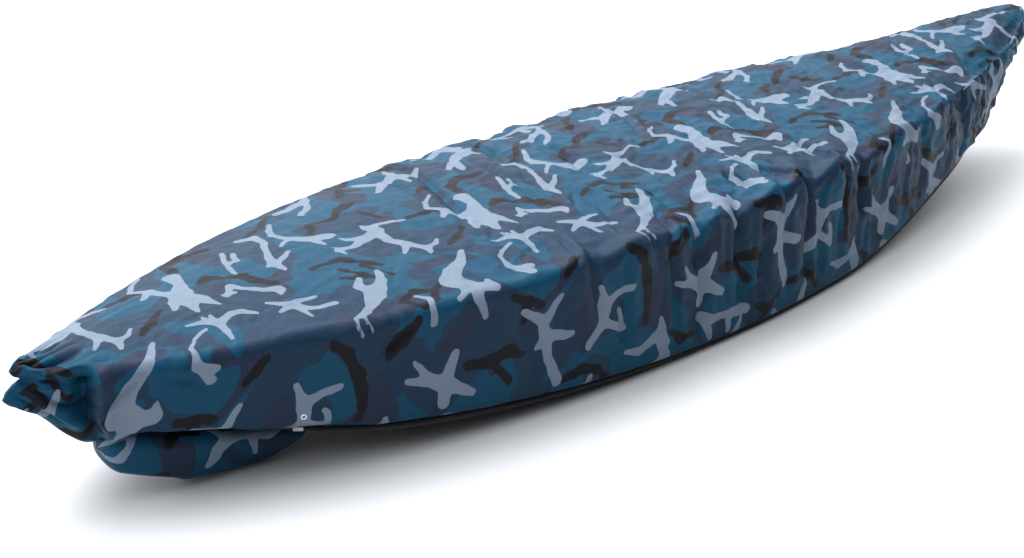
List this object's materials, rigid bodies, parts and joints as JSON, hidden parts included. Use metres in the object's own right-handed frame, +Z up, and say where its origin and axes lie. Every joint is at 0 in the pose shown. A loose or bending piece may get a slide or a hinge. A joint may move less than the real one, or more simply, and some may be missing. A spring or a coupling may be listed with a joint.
{
  "type": "kayak cover",
  "caption": "Full-length kayak cover in camouflage cloth with an elastic hem, cord locks, eyelets and buckled belly straps.",
  "frame": {"origin": "centre of the footprint on the ground under the hem", "axes": "+X from bow to stern, -Y is the port side, +Z up"},
  "size_m": [3.3, 0.78, 0.4337],
  "materials": {
    "cloth": "semi-gloss coated polyester with a camouflage print",
    "tape": "matte binding tape",
    "hem": "matte woven binding",
    "cord": "braided elastic",
    "plastic": "moulded, fine grain",
    "spring": "drawn wire",
    "eyelet": "satin",
    "label": "woven ribbon",
    "webbing": "flat woven polypropylene"
  },
  "bodies": {
    "cover": {"deck_cloth": "cloth", "port_side_curtain": "cloth", "starboard_side_curtain": "cloth", "bow_panel": "cloth", "stern_panel": "cloth", "bow_gather": "cloth", "bow_seam_tape": "tape", "stern_seam_tape": "tape", "hem_casing_port": "hem", "hem_casing_starboard": "hem", "drawcord_port": "cord", "drawcord_starboard": "cord", "bow_cord_end": "plastic", "stern_cord_end": "plastic", "eyelets": "eyelet", "eyelet_washers": "eyelet", "eyelet_patches": "hem", "hem_label": "label", "fore_socket_web": "webbing", "fore_socket": "plastic", "fore_slider": "plastic", "fore_slider_tab": "webbing", "aft_socket_web": "webbing", "aft_socket": "plastic", "aft_slider": "plastic", "aft_slider_tab": "webbing"},
    "bow_lock": {"bow_lock_barrel": "plastic", "bow_lock_spring": "spring"},
    "bow_button": {"bow_lock_button": "plastic"},
    "stern_lock": {"stern_lock_barrel": "plastic", "stern_lock_spring": "spring"},
    "stern_button": {"stern_lock_button": "plastic"},
    "fore_strap_end": {"fore_plug": "plastic", "fore_plug_web": "webbing"},
    "aft_strap_end": {"aft_plug": "plastic", "aft_plug_web": "webbing"}
  },
  "joints": [
    {"name": "bow_lock_slide", "type": "slide", "parent": "cover", "child": "bow_lock", "axis": [-1, 0, 0], "range_m": [0, 0.035]},
    {"name": "bow_button_press", "type": "slide", "parent": "bow_lock", "child": "bow_button", "axis": [0, 0, 1], "range_m": [0, 0.004], "stiffness_N_per_m": 500, "springref_m": -0.002, "deforming": ["bow_lock_spring"]},
    {"name": "stern_lock_slide", "type": "slide", "parent": "cover", "child": "stern_lock", "axis": [1, 0, 0], "range_m": [0, 0.035]},
    {"name": "stern_button_press", "type": "slide", "parent": "stern_lock", "child": "stern_button", "axis": [0, 0, 1], "range_m": [0, 0.004], "stiffness_N_per_m": 500, "springref_m": -0.002, "deforming": ["stern_lock_spring"]},
    {"name": "fore_buckle_pull", "type": "slide", "parent": "cover", "child": "fore_strap_end", "axis": [0, -1, 0], "range_m": [0, 0.028]},
    {"name": "aft_buckle_pull", "type": "slide", "parent": "cover", "child": "aft_strap_end", "axis": [0, -1, 0], "range_m": [0, 0.028]}
  ]
}
